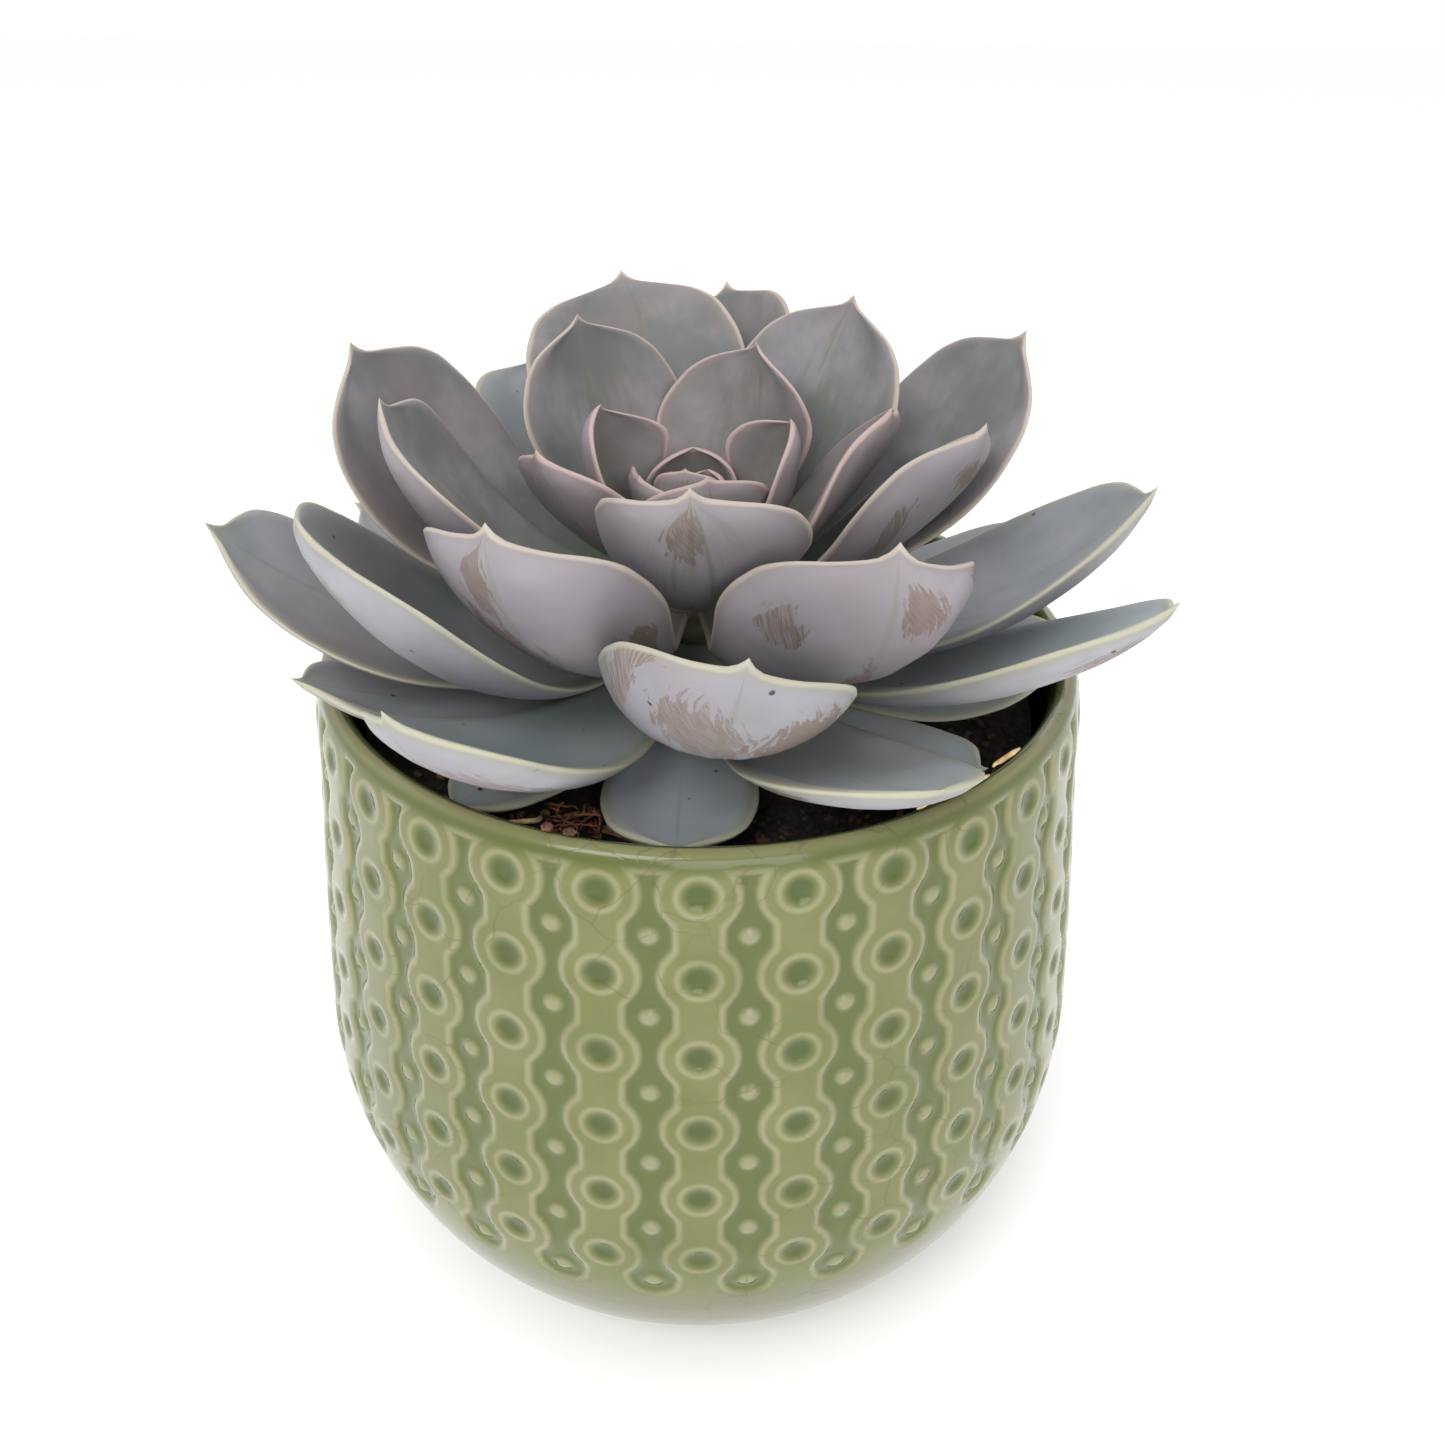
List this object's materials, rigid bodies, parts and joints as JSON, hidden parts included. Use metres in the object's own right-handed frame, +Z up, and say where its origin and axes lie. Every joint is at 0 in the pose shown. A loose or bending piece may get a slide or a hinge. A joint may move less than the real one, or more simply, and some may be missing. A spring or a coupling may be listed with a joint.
{
  "type": "potted succulent",
  "caption": "Rosette succulent with thick pointed leaves, rooted in dark potting soil in a round glazed ceramic planter with a raised chain-ring pattern.",
  "frame": {"origin": "centre of the planter's flat foot, on the surface it stands on", "axes": "+Z up along the planter's axis, the rosette's front faces -Y, +X to the viewer's right when looking along +Y"},
  "size_m": [0.1471, 0.147, 0.1718],
  "materials": {
    "glaze": "glossy crackled green glaze, paler where it breaks over edges",
    "soil": "dark crumbly peat",
    "stem": "smooth fleshy stem",
    "inner_leaf": "matt waxy bloom, mauve-grey with pink margins",
    "outer_leaf": "matt waxy bloom, blue-grey with pale yellow-green margins",
    "coir": "matt fibrous",
    "bark": "matt woody",
    "straw": "dry satin"
  },
  "bodies": {
    "root": {"pot": "glaze", "potting_soil": "soil", "stem": "stem", "leaf_01": "inner_leaf", "leaf_02": "inner_leaf", "leaf_03": "inner_leaf", "leaf_04": "inner_leaf", "leaf_05": "inner_leaf", "leaf_06": "inner_leaf", "leaf_07": "inner_leaf", "leaf_08": "inner_leaf", "leaf_09": "inner_leaf", "leaf_10": "inner_leaf", "leaf_11": "inner_leaf", "leaf_12": "inner_leaf", "leaf_13": "outer_leaf", "leaf_14": "outer_leaf", "leaf_15": "outer_leaf", "leaf_16": "outer_leaf", "leaf_17": "outer_leaf", "leaf_18": "outer_leaf", "leaf_19": "outer_leaf", "leaf_20": "outer_leaf", "leaf_21": "outer_leaf", "leaf_22": "outer_leaf", "leaf_23": "outer_leaf", "leaf_24": "outer_leaf", "leaf_25": "outer_leaf", "leaf_26": "outer_leaf", "leaf_27": "outer_leaf", "leaf_28": "outer_leaf", "leaf_29": "outer_leaf", "leaf_30": "outer_leaf", "leaf_31": "outer_leaf", "leaf_32": "outer_leaf", "leaf_33": "outer_leaf", "leaf_34": "outer_leaf", "leaf_35": "outer_leaf", "leaf_36": "outer_leaf", "leaf_37": "outer_leaf", "leaf_38": "outer_leaf", "leaf_39": "outer_leaf", "leaf_40": "outer_leaf", "leaf_41": "outer_leaf", "leaf_42": "outer_leaf", "leaf_43": "outer_leaf", "leaf_44": "outer_leaf", "straw_over_rim": "straw", "straw_beside_rim": "straw", "straw_on_soil": "straw", "coir_tuft": "coir", "bark_lump": "bark", "crumb_on_rim_1": "coir", "crumb_on_rim_2": "coir", "bark_chip_1": "bark", "bark_chip_2": "bark"}
  },
  "joints": []
}
